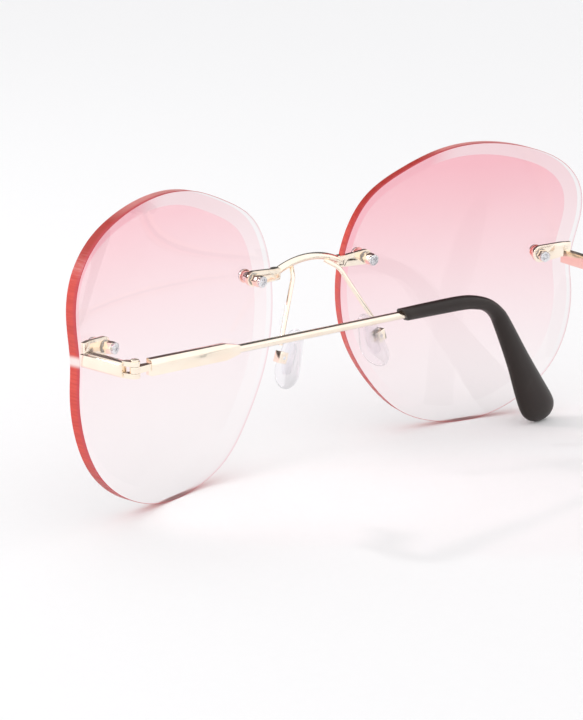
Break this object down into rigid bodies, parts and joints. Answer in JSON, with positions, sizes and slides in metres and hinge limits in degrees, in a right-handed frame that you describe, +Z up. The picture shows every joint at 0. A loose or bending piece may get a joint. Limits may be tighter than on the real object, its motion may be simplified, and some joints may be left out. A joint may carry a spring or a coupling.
{
  "type": "cat eye sunglasses",
  "caption": "Rimless cat eye sunglasses with gradient pink lenses, slim metal bridge, clear nose pads and hinged temples, one folded and one open.",
  "frame": {"origin": "midway between the lenses, at half their height, on the line of the lens rims: the middle of the nose saddle", "axes": "+X towards the wearer's left, +Y backwards along the open temples, +Z up"},
  "size_m": [0.1408, 0.1507, 0.0641],
  "materials": {
    "tinted_lens": "polished pink gradient tint",
    "gold_metal": "polished pale gold plate",
    "steel_screw": "bright",
    "clear_bush": "clear",
    "clear_silicone": "soft clear",
    "black_sleeve": "satin black"
  },
  "bodies": {
    "front": {"bridge": "gold_metal", "left_lens": "tinted_lens", "left_nasal_bush": "clear_bush", "left_nasal_front_washer": "gold_metal", "left_nasal_rear_washer": "clear_bush", "left_nasal_nut": "gold_metal", "left_nasal_lock_nut": "steel_screw", "left_nasal_screw": "steel_screw", "left_temporal_bush": "clear_bush", "left_temporal_front_washer": "gold_metal", "left_temporal_rear_washer": "clear_bush", "left_temporal_nut": "gold_metal", "left_temporal_lock_nut": "steel_screw", "left_temporal_screw": "steel_screw", "left_end_piece": "gold_metal", "left_hinge_screw": "gold_metal", "left_pad_arm": "gold_metal", "left_pad_box": "gold_metal", "left_pad_screw": "steel_screw", "right_lens": "tinted_lens", "right_nasal_bush": "clear_bush", "right_nasal_front_washer": "gold_metal", "right_nasal_rear_washer": "clear_bush", "right_nasal_nut": "gold_metal", "right_nasal_lock_nut": "steel_screw", "right_nasal_screw": "steel_screw", "right_temporal_bush": "clear_bush", "right_temporal_front_washer": "gold_metal", "right_temporal_rear_washer": "clear_bush", "right_temporal_nut": "gold_metal", "right_temporal_lock_nut": "steel_screw", "right_temporal_screw": "steel_screw", "right_end_piece": "gold_metal", "right_hinge_screw": "gold_metal", "right_pad_arm": "gold_metal", "right_pad_box": "gold_metal", "right_pad_screw": "steel_screw"},
    "left_temple": {"left_temple_arm": "gold_metal", "left_temple_tip": "black_sleeve"},
    "right_temple": {"right_temple_arm": "gold_metal", "right_temple_tip": "black_sleeve"},
    "left_pad": {"left_nose_pad": "clear_silicone", "left_pad_insert": "clear_bush"},
    "right_pad": {"right_nose_pad": "clear_silicone", "right_pad_insert": "clear_bush"}
  },
  "joints": [
    {"name": "left_temple_open", "type": "hinge", "parent": "front", "child": "left_temple", "pos_m": [0.06374, 0.02392, 0.0037], "axis": [0, 0, -1], "range_deg": [0, 91.3]},
    {"name": "right_temple_fold", "type": "hinge", "parent": "front", "child": "right_temple", "pos_m": [-0.06374, 0.02392, 0.0037], "axis": [0, 0, -1], "range_deg": [0, 86]},
    {"name": "left_pad_rock", "type": "hinge", "parent": "front", "child": "left_pad", "pos_m": [0.01363, 0.00669, -0.00694], "axis": [-0.0946, -0.995, -0.0307], "range_deg": [-6, 6]},
    {"name": "right_pad_rock", "type": "hinge", "parent": "front", "child": "right_pad", "pos_m": [-0.01363, 0.00669, -0.00694], "axis": [0.0946, -0.995, -0.0307], "range_deg": [-6, 6]}
  ]
}
